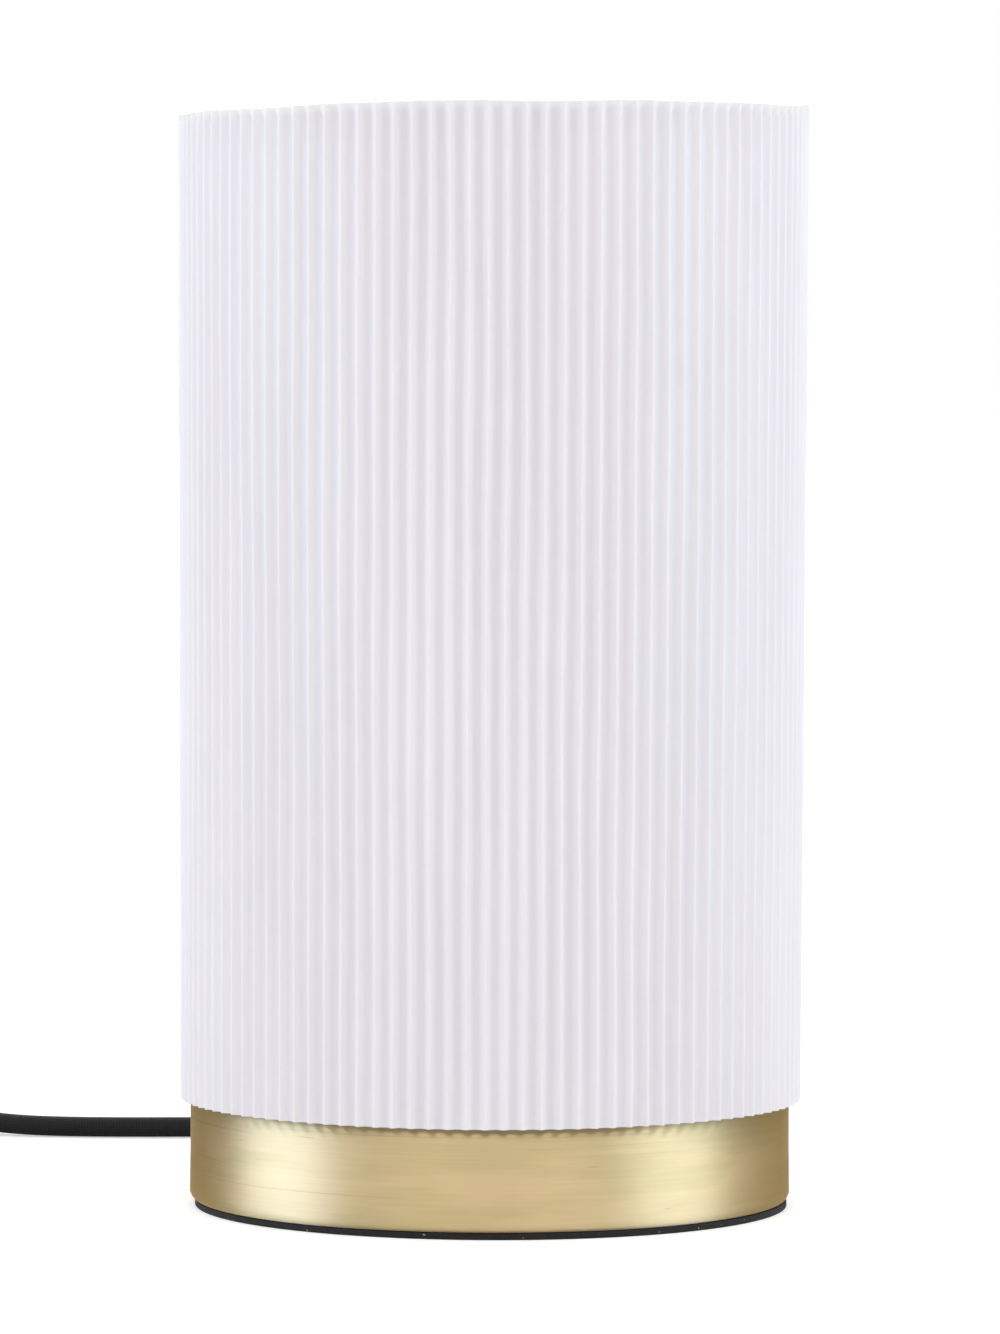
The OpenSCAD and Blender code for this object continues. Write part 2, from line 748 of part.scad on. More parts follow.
module switch_cover() {
    color("black") translate([switch_x, switch_y, 0]) difference() {
        union() {
            intersection() {
                translate([0, 0, parting_z]) linear_extrude(switch_h) switch_plan();
                translate([-switch_l, 0, switch_h - crown_r]) rotate([0, 90, 0])
                    cylinder(r = crown_r, h = 2 * switch_l);
                translate([0, 0, switch_h - crown_long_r]) rotate([90, 0, 0])
                    cylinder(r = crown_long_r, h = 2 * switch_w, center = true);
            }
            switch_nozzles(parting_z, parting_z + nozzle_r);
        }
        translate([-pocket_l / 2, -pocket_w / 2, pocket_z]) cube([pocket_l, pocket_w, switch_h]);
        translate([0, 0, pivot_z]) rotate([90, 0, 0])
            cylinder(r = rocker_pin_r, h = pocket_w + 2 * pin_grip, center = true);
        at_switch_screws() translate([0, 0, parting_z - past])
            cylinder(r = switch_screw_r, h = switch_screw_top - parting_z + past);
    }
}

// Side view of the rocker when level, with its pivot at the origin
module rocker_profile() {
    reach = rocker_l / 2;
    draft = 1.2;
    hip = -0.6;
    foot = 3;
    dip = pivot_drop - pocket_gap;
    dip_w = 2;
    polygon([
        [-reach, rocker_rise], [-dip_w, dip], [dip_w, dip], [reach, rocker_rise],
        [reach - draft, hip], [foot, -rocker_foot], [-foot, -rocker_foot], [-reach + draft, hip]
    ]);
}

module switch_rocker() {
    color("black") translate([switch_x, switch_y, pivot_z]) rotate([0, rocker_tilt, 0]) difference() {
        rotate([90, 0, 0]) linear_extrude(rocker_w, center = true) rocker_profile();
        rotate([90, 0, 0])
            cylinder(r = rocker_pin_r + running_fit, h = rocker_w + 2 * past, center = true);
    }
}

module rocker_pin() {
    color("silver") translate([switch_x, switch_y, pivot_z]) rotate([90, 0, 0])
        cylinder(r = rocker_pin_r, h = pocket_w + 2 * pin_grip, center = true);
}

module switch_terminals() {
    color("goldenrod") for (s = [-1, 1])
        translate([switch_x + s * block_x, switch_y, bay_z + block.z / 2]) cube(block, center = true);
}

// Contact strip that bridges the two terminals under the rocker
module switch_bridge() {
    bridge_l = 2 * block_x + block.x;
    color("goldenrod") translate([switch_x - bridge_l / 2, switch_y - bridge_w / 2, bay_z + block.z])
        cube([bridge_l, bridge_w, strip_t]);
}

module switch_screws() {
    color("silver") translate([switch_x, switch_y, switch_screw_z]) at_switch_screws() {
        cylinder(r = switch_screw_head_r, h = switch_screw_sink - switch_screw_z);
        cylinder(r = switch_screw_r, h = switch_screw_top - switch_screw_z);
    }
}

// Plan of the plug with its pin face on the origin and the lead end towards +Y
module plug_plan() {
    half = plug_w / 2;
    shoulder_y = 12;
    waist = [half - 2.5, 17];
    tail = [8, plug_l - 6];
    right = [
        [half - plug_bevel, 0], [half, plug_bevel], [half, shoulder_y], waist, tail, [tail.x - 1, plug_l]
    ];
    left = [for (i = [len(right) - 1 : -1 : 0]) [-right[i].x, right[i].y]];
    polygon(concat(right, left));
}

// Side of the plug: its edges are chamfered and it thins towards the lead
module plug_side() {
    half = plug_t / 2;
    flat_end = 16;
    thinner = 1.4;
    polygon([
        [0, plug_bevel - half], [plug_bevel, -half], [flat_end, -half], [plug_l, thinner - half],
        [plug_l, half - thinner], [flat_end, half], [plug_bevel, half], [0, half - plug_bevel]
    ]);
}

module plug_body() {
    color("black") translate([plug_x, plug_face, plug_z]) {
        intersection() {
            translate([0, 0, -plug_t]) linear_extrude(2 * plug_t) plug_plan();
            rotate([90, 0, 90]) translate([0, 0, -plug_w]) linear_extrude(2 * plug_w) plug_side();
        }
        translate([0, plug_l - eps, 0]) rotate([-90, 0, 0])
            strain_relief(plug_relief_r, relief_tip_r, plug_relief_l + eps);
    }
}

module at_pins() {
    for (s = [-1, 1]) translate([plug_x + s * pin_pitch / 2, plug_face, plug_z])
        rotate([90, 0, 0]) children();
}

module plug_pins() {
    tip = 1;
    color("silver") at_pins() {
        cylinder(r = pin_neck_r, h = sleeve_l);
        translate([0, 0, sleeve_l]) cylinder(r = pin_d / 2, h = pin_l - sleeve_l - tip);
        translate([0, 0, pin_l - tip]) cylinder(r1 = pin_d / 2, r2 = pin_d / 2 - tip, h = tip);
    }
}

module pin_sleeves() {
    color("black") at_pins() pipe(pin_neck_r + sleeve_t, pin_neck_r, sleeve_l);
}

base_cup();
foot_pad();
closing_plate();
plate_screws();
ballast();
nipple();
nipple_washer();
nipple_nut();
lead_outlet();
lead_stop();
inner_lead();
holder_dome();
holder_skirt();
holder_insulator();
screw_shell();
centre_contact();
terminal_blocks();
terminal_screws();
core_wires();
bulb_cap();
bulb_insulator();
bulb_contact();
bulb_body();
bulb_globe();
led_board();
led_driver();
shade_sleeve();
seat_ring();
top_ring();
cord_lead();
switch_base();
switch_cover();
switch_rocker();
rocker_pin();
switch_terminals();
switch_bridge();
switch_screws();
cord_run();
cord_coil();
coil_tie();
cord_tail();
plug_body();
plug_pins();
pin_sleeves();
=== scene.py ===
# Table lamp with a ribbed shade on a brass base: the looks, in metres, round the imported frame
import json
import math

import bmesh
import bpy
from mathutils import Matrix, Vector


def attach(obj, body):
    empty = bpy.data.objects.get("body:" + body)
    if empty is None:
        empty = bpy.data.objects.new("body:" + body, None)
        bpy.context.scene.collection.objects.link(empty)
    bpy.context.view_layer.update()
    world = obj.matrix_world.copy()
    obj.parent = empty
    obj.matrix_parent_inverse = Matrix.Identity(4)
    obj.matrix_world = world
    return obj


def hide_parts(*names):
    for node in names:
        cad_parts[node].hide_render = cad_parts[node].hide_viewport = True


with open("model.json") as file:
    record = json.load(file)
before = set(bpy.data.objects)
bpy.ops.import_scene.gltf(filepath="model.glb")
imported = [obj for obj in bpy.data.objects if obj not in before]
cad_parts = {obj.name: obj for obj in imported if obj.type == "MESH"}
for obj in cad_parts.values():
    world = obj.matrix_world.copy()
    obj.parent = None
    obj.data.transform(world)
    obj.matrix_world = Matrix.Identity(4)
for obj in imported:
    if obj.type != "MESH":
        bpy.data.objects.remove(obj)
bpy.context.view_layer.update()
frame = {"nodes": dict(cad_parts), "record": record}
scene = bpy.context.scene
mm = 0.001
fullTurn = 2 * math.pi
ribCount = 107
alongY = Matrix.Rotation(-math.pi / 2, 4, "X")  # lays a turned piece down towards +Y
print("lamp: frame loaded")


# Camera
cameraSettings = {
    "place": (4.2 * mm, -1657.8 * mm, 200 * mm),
    "pitch": 0.0445,
    "yaw": -0.0013,
    "roll": 0.0035,
    "lens": 191.2,
    "sensor": 36,
}


def makeCamera(settings):
    pitch, yaw, roll = settings["pitch"], settings["yaw"], settings["roll"]
    right = Vector((math.cos(yaw), -math.sin(yaw), 0))
    ahead = Vector((math.sin(yaw) * math.cos(pitch), math.cos(yaw) * math.cos(pitch), -math.sin(pitch)))
    up = right.cross(ahead)
    side = math.cos(roll) * right + math.sin(roll) * up
    top = math.cos(roll) * up - math.sin(roll) * right
    lensData = bpy.data.cameras.new("camera")
    lensData.sensor_width = settings["sensor"]
    lensData.lens = settings["lens"]
    holder = bpy.data.objects.new("camera", lensData)
    scene.collection.objects.link(holder)
    facing = Matrix((side, top, -ahead)).transposed().to_4x4()
    holder.matrix_world = Matrix.Translation(settings["place"]) @ facing
    scene.camera = holder


makeCamera(cameraSettings)
print("lamp: camera set")


# Materials
def newTree(name):
    material = bpy.data.materials.new(name)
    material.use_nodes = True
    material.node_tree.nodes.clear()
    return material, material.node_tree


def put(tree, kind, inputs=None, **traits):
    node = tree.nodes.new("ShaderNode" + kind)
    for trait, value in traits.items():
        setattr(node, trait, value)
    for socket, value in (inputs or {}).items():
        if isinstance(value, bpy.types.NodeSocket):
            tree.links.new(value, node.inputs[socket])
        else:
            node.inputs[socket].default_value = value
    return node


def ramp(tree, source, *stops):
    node = put(tree, "ValToRGB", {"Fac": source})
    marks = node.color_ramp.elements
    while len(marks) < len(stops):
        marks.new(1)
    for mark, (position, colour) in zip(marks, stops):
        mark.position = position
        mark.color = (*colour, 1)
    return node.outputs["Color"]


def between(tree, source, tones, first=0.3, last=0.7):
    return ramp(tree, source, (first, tones[0]), (last, tones[1]))


def blend(tree, share, first, second, way="MIX"):
    first, second = [(*tone, 1) if isinstance(tone, tuple) else tone for tone in (first, second)]
    mixer = put(tree, "MixRGB", {"Fac": share, "Color1": first, "Color2": second}, blend_type=way)
    return mixer.outputs["Color"]


def spread(tree, source, low, high, first=0.3, last=0.7, way="LINEAR"):
    limits = {"Value": source, 1: first, 2: last, 3: low, 4: high}
    return put(tree, "MapRange", limits, interpolation_type=way).outputs["Result"]


def noise(tree, where, stretch, detail=2, rough=0.5):
    placed = put(tree, "Mapping", {"Vector": where, "Scale": stretch})
    speckle = put(tree, "TexNoise", {
        "Vector": placed.outputs["Vector"], "Scale": 1, "Detail": detail, "Roughness": rough,
    })
    return speckle.outputs["Fac"]


def maths(tree, operation, first, second=0):
    return put(tree, "Math", {0: first, 1: second}, operation=operation).outputs[0]


def axes(tree, vector):
    return put(tree, "SeparateXYZ", {"Vector": vector}).outputs


def relief(tree, height, strength, depth):
    bump = put(tree, "Bump", {"Height": height, "Strength": strength, "Distance": depth})
    return bump.outputs["Normal"]


def close(tree, shader):
    put(tree, "OutputMaterial", {"Surface": shader})


# Plain finishes: two tones, roughness and a fine relief, all from one grain
grainLooks = {
    "zinc_steel": {"tones": ((0.42, 0.43, 0.45), (0.62, 0.63, 0.65)), "rough": (0.28, 0.5),
                   "metal": 1, "grain": (420, 420, 420), "relief": (0.1, 0.02 * mm)},
    "cast_ballast": {"tones": ((0.06, 0.06, 0.065), (0.14, 0.14, 0.145)), "rough": (0.6, 0.85),
                     "metal": 0.6, "grain": (600, 600, 600), "relief": (0.6, 0.2 * mm)},
    "turned_brass": {"tones": ((0.62, 0.46, 0.19), (0.80, 0.63, 0.30)), "rough": (0.2, 0.36),
                     "metal": 1, "grain": (300, 300, 2600), "relief": (0.1, 0.01 * mm)},
    "black_moulding": {"tones": ((0.008, 0.008, 0.008), (0.016, 0.016, 0.016)), "rough": (0.42, 0.58),
                       "metal": 0, "grain": (2600, 2600, 2600), "relief": (0.25, 0.03 * mm)},
    "black_gloss": {"tones": ((0.007, 0.007, 0.007), (0.012, 0.012, 0.012)), "rough": (0.12, 0.22),
                    "metal": 0, "grain": (300, 300, 300), "relief": (0.05, 0.01 * mm)},
    "holder_plastic": {"tones": ((0.010, 0.009, 0.009), (0.018, 0.017, 0.016)), "rough": (0.25, 0.4),
                       "metal": 0, "grain": (500, 500, 500), "relief": (0.08, 0.02 * mm)},
    "porcelain": {"tones": ((0.74, 0.72, 0.68), (0.82, 0.80, 0.77)), "rough": (0.12, 0.22),
                  "metal": 0, "grain": (160, 160, 160), "relief": (0.1, 0.05 * mm)},
    "core_insulation": {"tones": ((0.10, 0.045, 0.02), (0.14, 0.065, 0.03)), "rough": (0.4, 0.5),
                        "metal": 0, "grain": (900, 900, 900), "relief": (0.1, 0.02 * mm)},
    "nickel_cap": {"tones": ((0.60, 0.59, 0.56), (0.75, 0.74, 0.70)), "rough": (0.16, 0.3),
                   "metal": 1, "grain": (350, 350, 900), "relief": (0.08, 0.01 * mm)},
    "white_plastic": {"tones": ((0.76, 0.76, 0.75), (0.82, 0.82, 0.81)), "rough": (0.4, 0.55),
                      "metal": 0, "grain": (1800, 1800, 1800), "relief": (0.12, 0.03 * mm)},
    "opal_plastic": {"tones": ((0.83, 0.83, 0.82), (0.87, 0.87, 0.86)), "rough": (0.35, 0.5),
                     "metal": 0, "grain": (2200, 2200, 2200), "relief": (0.1, 0.02 * mm)},
    "board_white": {"tones": ((0.74, 0.74, 0.73), (0.80, 0.80, 0.79)), "rough": (0.35, 0.5),
                    "metal": 0, "grain": (700, 700, 700), "relief": (0.05, 0.02 * mm)},
    "board_green": {"tones": ((0.01, 0.10, 0.05), (0.02, 0.15, 0.08)), "rough": (0.3, 0.45),
                    "metal": 0, "grain": (500, 500, 500), "relief": (0.1, 0.03 * mm)},
    "white_wire": {"tones": ((0.76, 0.76, 0.77), (0.82, 0.82, 0.83)), "rough": (0.3, 0.45),
                   "metal": 0, "grain": (900, 900, 900), "relief": (0.15, 0.03 * mm)},
}


def makeGrainFinish(name, look):
    material, tree = newTree(name)
    where = put(tree, "TexCoord").outputs["Object"]
    grain = noise(tree, where, look["grain"], 4, 0.6)
    skin = put(tree, "BsdfPrincipled", {
        "Base Color": between(tree, grain, look["tones"]),
        "Roughness": spread(tree, grain, *look["rough"]),
        "Metallic": look["metal"],
        "Normal": relief(tree, grain, *look["relief"]),
    })
    close(tree, skin.outputs["BSDF"])
    return material


# Foam of the pad, dark brown with a little dust on it
foamLook = {
    "tones": ((0.006, 0.005, 0.0045), (0.022, 0.018, 0.016)),
    "dustTone": (0.30, 0.26, 0.20),
    "dust": (1100, 1100, 1500),
    "dustLevel": (0.76, 0.79),
    "grain": (1400, 1400, 1400),
    "rough": (0.85, 0.97),
    "shine": 0.25,
    "relief": (0.5, 0.15 * mm),
}


def makeFoam(name, look):
    material, tree = newTree(name)
    where = put(tree, "TexCoord").outputs["Object"]
    grain = noise(tree, where, look["grain"], 4, 0.6)
    dust = spread(tree, noise(tree, where, look["dust"], 1), 0, 1, *look["dustLevel"])
    skin = put(tree, "BsdfPrincipled", {
        "Base Color": blend(tree, dust, between(tree, grain, look["tones"]), look["dustTone"]),
        "Roughness": spread(tree, grain, *look["rough"]),
        "Specular IOR Level": look["shine"],
        "Normal": relief(tree, grain, *look["relief"]),
    })
    close(tree, skin.outputs["BSDF"])
    return material


# Brass, brushed round the cup: streaks, cloudy lacquer, dull nicks and a few long faint scratches.
# Each level of nicks and scratches says how strong they are, and where in the noise they start and end
brassLook = {
    "tones": ((0.535, 0.42, 0.232), (0.57, 0.455, 0.258)),
    "toneStops": (0.36, 0.62),
    "edgeTone": (0.92, 0.74, 0.47),
    "cloudTones": ((0.945, 0.955, 0.93), (1.045, 1.03, 1.05)),
    "cloudStops": (0.42, 0.58),
    "nickTone": (0.36, 0.27, 0.15),
    "streaks": (14, 14, 1300),
    "streakShare": 0.6,
    "hair": (60, 60, 6000),
    "clouds": (28, 28, 130),
    "nicks": (110, 110, 1900),
    "nicksLevel": (0.7, 0.76, 0.80),
    "scratches": (9, 9, 1700),
    "scratchesLevel": (0.35, 0.72, 0.76),
    "rough": (0.57, 0.63),
    "lay": 0.97,
    "relief": (0.08, 0.02 * mm),
}


def makeBrass(name, look):
    material, tree = newTree(name)
    where = put(tree, "TexCoord").outputs["Object"]
    streak = maths(tree, "MULTIPLY", noise(tree, where, look["streaks"], 3, 0.6), look["streakShare"])
    hair = maths(tree, "MULTIPLY", noise(tree, where, look["hair"]), 1 - look["streakShare"])
    brushed = maths(tree, "ADD", streak, hair)
    metal = between(tree, brushed, look["tones"], *look["toneStops"])
    cloud = between(tree, noise(tree, where, look["clouds"], 3), look["cloudTones"], *look["cloudStops"])
    marks = [
        spread(tree, noise(tree, where, look[kind], 1), 0, *look[kind + "Level"])
        for kind in ("nicks", "scratches")
    ]
    worn = maths(tree, "MAXIMUM", *marks)
    skin = put(tree, "BsdfPrincipled", {
        "Base Color": blend(tree, worn, blend(tree, 1, metal, cloud, "MULTIPLY"), look["nickTone"]),
        "Metallic": 1,
        "Specular Tint": (*look["edgeTone"], 1),
        "Roughness": spread(tree, brushed, *look["rough"]),
        "Anisotropic": look["lay"],
        "Anisotropic Rotation": 0.25,
        "Tangent": put(tree, "Tangent", direction_type="RADIAL", axis="Z").outputs["Tangent"],
        "Normal": relief(tree, brushed, *look["relief"]),
    })
    close(tree, skin.outputs["BSDF"])
    return material


# Translucent ribbed sheet. Its map runs once round the shade and once up it, so the painted shade in the
# valleys between the ribs and the tone of the band at the upper rim both follow the map
sheetLook = {
    "tones": ((0.868, 0.838, 0.866), (0.885, 0.854, 0.882)),
    "toneStops": (0.35, 0.65),
    "bandTone": (0.862, 0.858, 0.838),
    "bandStart": (0.93, 0.99),
    # Painted shade: the colour the valleys between the ribs are darkened to
    "valleyShadeTone": (0.905, 0.905, 0.91),
    "valley": (0.24, 0.44),
    "grain": (900, 900, 140),
    "drift": (9, 2, 1),
    "rough": (0.42, 0.55),
    "shine": 0.35,
    "glow": 0.1,
    "relief": (0.1, 0.03 * mm),
}


def makeSheet(name, look):
    material, tree = newTree(name)
    coords = put(tree, "TexCoord").outputs
    place = axes(tree, coords["UV"])
    grain = noise(tree, coords["Object"], look["grain"], 3)
    plain = between(tree, noise(tree, coords["UV"], look["drift"], 3), look["tones"], *look["toneStops"])
    # Painted shade: the colour darkens from each crest into the valley beside it, where the ribs shade
    # each other
    phase = maths(tree, "PINGPONG", maths(tree, "MULTIPLY", place["X"], ribCount), 0.5)
    depth = spread(tree, phase, 0, 1, *look["valley"], "SMOOTHSTEP")
    ribbed = blend(tree, 1, plain, blend(tree, depth, (1, 1, 1), look["valleyShadeTone"]), "MULTIPLY")
    tone = blend(tree, spread(tree, place["Y"], 0, 1, *look["bandStart"]), ribbed, look["bandTone"])
    skin = put(tree, "BsdfPrincipled", {
        "Base Color": tone,
        "Roughness": spread(tree, grain, *look["rough"]),
        "Specular IOR Level": look["shine"],
        "Normal": relief(tree, grain, *look["relief"]),
    })
    through = put(tree, "BsdfTranslucent", {"Color": tone})
    both = put(tree, "MixShader", {0: look["glow"], 1: skin.outputs["BSDF"], 2: through.outputs["BSDF"]})
    close(tree, both.outputs["Shader"])
    return material


# Braided cover of the lead; its map is metres along and one turn round
braidLook = {
    "tones": ((0.004, 0.004, 0.004), (0.016, 0.016, 0.016)),
    "toneStops": (0.1, 0.9),
    "yarnLength": 1.3 * mm,
    "yarnsRound": 12,
    "fibre": (2600, 2600, 2600),
    "weaveShare": 0.5,
    "fibreShare": 1.6,
    "heights": (0.1, 1.5),
    "rough": (0.75, 0.92),
    "shine": 0.16,
    "sheen": 0.03,
    "relief": (0.4, 0.1 * mm),
}


def makeBraid(name, look):
    material, tree = newTree(name)
    coords = put(tree, "TexCoord").outputs
    place = axes(tree, coords["UV"])
    along = maths(tree, "MULTIPLY", place["X"], fullTurn / look["yarnLength"])
    around = maths(tree, "MULTIPLY", place["Y"], fullTurn * look["yarnsRound"])
    yarns = [maths(tree, "SINE", maths(tree, lean, along, around)) for lean in ("ADD", "SUBTRACT")]
    weave = maths(tree, "MULTIPLY", maths(tree, "MULTIPLY", *yarns), look["weaveShare"])
    fibre = noise(tree, coords["Object"], look["fibre"], 3, 0.6)
    height = maths(tree, "ADD", weave, maths(tree, "MULTIPLY", fibre, look["fibreShare"]))
    level = spread(tree, height, 0, 1, *look["heights"])
    skin = put(tree, "BsdfPrincipled", {
        "Base Color": between(tree, level, look["tones"], *look["toneStops"]),
        "Roughness": spread(tree, fibre, *look["rough"]),
        "Specular IOR Level": look["shine"],
        "Sheen Weight": look["sheen"],
        "Sheen Roughness": 0.5,
        "Normal": relief(tree, height, *look["relief"]),
    })
    close(tree, skin.outputs["BSDF"])
    return material


# Woven hook-and-loop band
bandLook = {
    "tones": ((0.008, 0.008, 0.008), (0.035, 0.035, 0.036)),
    "toneStops": (0.2, 0.9),
    "nap": (3200, 3200, 3200),
    "ribs": 5200,
    "ribShare": 0.35,
    "rough": (0.75, 0.95),
    "sheen": 0.3,
    "relief": (0.6, 0.15 * mm),
}


def makeBand(name, look):
    material, tree = newTree(name)
    where = put(tree, "TexCoord").outputs["Object"]
    nap = noise(tree, where, look["nap"], 4, 0.7)
    rib = maths(tree, "SINE", maths(tree, "MULTIPLY", axes(tree, where)["Y"], look["ribs"]))
    height = maths(tree, "ADD", maths(tree, "MULTIPLY", rib, look["ribShare"]), nap)
    skin = put(tree, "BsdfPrincipled", {
        "Base Color": between(tree, height, look["tones"], *look["toneStops"]),
        "Roughness": spread(tree, nap, *look["rough"]),
        "Sheen Weight": look["sheen"],
        "Normal": relief(tree, height, *look["relief"]),
    })
    close(tree, skin.outputs["BSDF"])
    return material


finishes = {name: makeGrainFinish(name, look) for name, look in grainLooks.items()}
finishes["foam_pad"] = makeFoam("foam_pad", foamLook)
finishes["satin_brass"] = makeBrass("satin_brass", brassLook)
finishes["shade_plastic"] = makeSheet("shade_plastic", sheetLook)
finishes["black_textile"] = makeBraid("black_textile", braidLook)
finishes["tie_band"] = makeBand("tie_band", bandLook)
nodeSlots = {part["node"]: part["material_slot"] for part in frame["record"]["subparts"]}
nodeBodies = {
    node: body for body, nodes in frame["record"]["behaviour"]["bodies"].items() for node in nodes
}
for nodeName, nodeObject in frame["nodes"].items():
    nodeObject.data.materials.clear()
    nodeObject.data.materials.append(finishes[nodeSlots[nodeName]])
print("lamp: finishes made")


# Shared ways of making a piece
def toPiece(name, bm, nodes, sharp=35):
    node = nodes[0]
    mesh = bpy.data.meshes.new(name)
    bm.to_mesh(mesh)
    bm.free()
    for face in mesh.polygons:
        face.use_smooth = True
    mesh.set_sharp_from_angle(angle=math.radians(sharp))
    mesh.materials.append(finishes[nodeSlots[node]])
    piece = bpy.data.objects.new(name, mesh)
    scene.collection.objects.link(piece)
    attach(piece, nodeBodies[node])
    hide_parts(*nodes)
    return piece


# Gives an open surface its wall, and keeps the shading of its faces clear of the cut rims
def thicken(piece, wall, side):
    bm = bmesh.new()
    bm.from_mesh(piece.data)
    for edge in bm.edges:
        edge.smooth = edge.smooth and not edge.is_boundary
    bm.to_mesh(piece.data)
    bm.free()
    sheet = piece.modifiers.new("wall", "SOLIDIFY")
    sheet.thickness = wall * mm
    sheet.offset = side


def grow(bm, edges):
    grown = bmesh.ops.extrude_edge_only(bm, edges=edges)["geom"]
    return [item for item in grown if isinstance(item, bmesh.types.BMVert)]


def arc(centreR, centreZ, radius, start, end, count):
    angles = [math.radians(start + (end - start) * i / count) for i in range(count + 1)]
    return [(centreR + radius * math.cos(a), centreZ + radius * math.sin(a)) for a in angles]


def roundCorners(outline, corners):
    bm = bmesh.new()
    verts = [bm.verts.new((r * mm, 0, z * mm)) for r, z in outline]
    bm.faces.new(verts)
    for index, radius in corners.items():
        bmesh.ops.bevel(
            bm, geom=[verts[index]], offset=radius * mm, offset_type="OFFSET", segments=4,
            profile=0.5, affect="VERTICES", clamp_overlap=True, material=-1,
        )
    face = next(iter(bm.faces))
    rounded = [(corner.vert.co.x / mm, corner.vert.co.z / mm) for corner in face.loops]
    bm.free()
    return rounded


def turned(name, node, outline, steps, corners=None, place=Matrix(), sharp=35):
    bm = bmesh.new()
    if corners:
        outline = roundCorners(outline, corners)
    rim = [bm.verts.new((r * mm, 0, z * mm)) for r, z in outline]
    edges = [bm.edges.new(pair) for pair in zip(rim, rim[1:] + rim[:1])]
    bmesh.ops.spin(
        bm, geom=rim + edges, cent=(0, 0, 0), axis=(0, 0, 1), dvec=(0, 0, 0),
        angle=fullTurn, steps=steps, use_merge=True, use_duplicate=False,
    )
    bmesh.ops.remove_doubles(bm, verts=bm.verts, dist=0.001 * mm)
    bmesh.ops.recalc_face_normals(bm, faces=bm.faces)
    bmesh.ops.transform(bm, matrix=place, verts=bm.verts)
    return toPiece(name, bm, [node], sharp)


def foldedGrid(columns, rows, lengthU, placeVertex):
    bm = bmesh.new()
    layer = bm.loops.layers.uv.new("map")
    bmesh.ops.create_grid(bm, x_segments=columns, y_segments=rows, size=1, calc_uvs=True)
    for face in bm.faces:
        for loop in face.loops:
            loop[layer].uv.x *= lengthU
    for vert in bm.verts:
        vert.co = placeVertex((vert.co.x + 1) / 2, (vert.co.y + 1) / 2)
    bmesh.ops.remove_doubles(bm, verts=bm.verts, dist=0.001 * mm)
    return bm


# Lead
leadSettings = {
    "radius": 2.5 * mm,
    "sides": 16,
    "step": 3 * mm,
    "toSwitch": [
        (0, 70, 10), (0, 81, 10), (0, 92, 10), (0, 98, 9.8), (-2, 107, 8.8), (-6, 116, 7.2),
        (-13, 124, 5.4), (-22, 130.5, 3.9), (-32, 135, 3), (-43, 137.5, 2.6), (-55, 138.5, 2.6),
        (-68, 138.5, 2.6), (-81, 138, 2.6), (-94, 137.5, 2.6), (-107, 138.3, 2.6),
        (-118, 140, 2.75), (-127, 142.5, 3.3), (-135, 144.8, 4.7), (-141, 145.9, 6.1),
        (-146, 146, 6.5), (-150, 146, 6.5),
    ],
    "toCoil": [
        (-202, 146, 6.5), (-206, 146, 6.5), (-211, 146, 6.4), (-220, 144, 5.4), (-228, 139, 4.2),
        (-233.5, 131, 3.5), (-236, 121, 3.4), (-236, 110, 3.4), (-236, 99, 3.4), (-236, 89, 3.4),
        (-236, 79, 3.4),
    ],
    "toPlug": [
        (-236, 69, 19.9), (-236, 64, 19.9), (-236, 55, 18.2), (-236, 46, 15), (-236, 37, 11.6),
        (-236, 28, 8.8), (-236, 20, 7.2), (-236, 12, 7), (-236, 8, 7),
    ],
    "coilCentre": (-202, 74),
    "coilRadius": 34,
    "coilBottom": 3.4,
    "coilStep": 5.5,
    "coilLayers": 4,
    "turnsPerLayer": 2,
    "ringsPerTurn": 24,
    "climb": 0.25,
}


def coilRoute(settings):
    step, turns = settings["coilStep"], settings["turnsPerLayer"]
    layers, climb = settings["coilLayers"], settings["climb"]
    centreX, centreY = settings["coilCentre"]
    route = []
    for ring in range(layers * turns * settings["ringsPerTurn"] + 1):
        t = ring / settings["ringsPerTurn"]
        layer = min(int(t // turns), layers - 1)
        along = t - layer * turns
        radius = settings["coilRadius"] - step * (along if layer % 2 == 0 else turns - along)
        change = max(1, min(layers - 1, math.floor(t / turns + 0.5)))
        rise = max(0, min(1, (t - change * turns + climb) / (2 * climb)))
        height = settings["coilBottom"] + step * (change - 1 + rise)
        route.append((
            centreX - radius * math.cos(fullTurn * t), centreY - radius * math.sin(fullTurn * t), height,
        ))
    return route


def smoothRoute(points, step):
    knots = [Vector(p) * mm for p in points]
    knots = [2 * knots[0] - knots[1]] + knots + [2 * knots[-1] - knots[-2]]
    fine = []
    for a, b, c, d in zip(knots, knots[1:], knots[2:], knots[3:]):
        parts = max(1, round((c - b).length / step))
        for i in range(parts):
            t = i / parts
            fine.append(0.5 * (
                2 * b + (c - a) * t + (2 * a - 5 * b + 4 * c - d) * t ** 2
                + (3 * b - a - 3 * c + d) * t ** 3
            ))
    fine.append(knots[-2])
    return fine


def routeLength(route):
    return sum((b - a).length for a, b in zip(route, route[1:]))


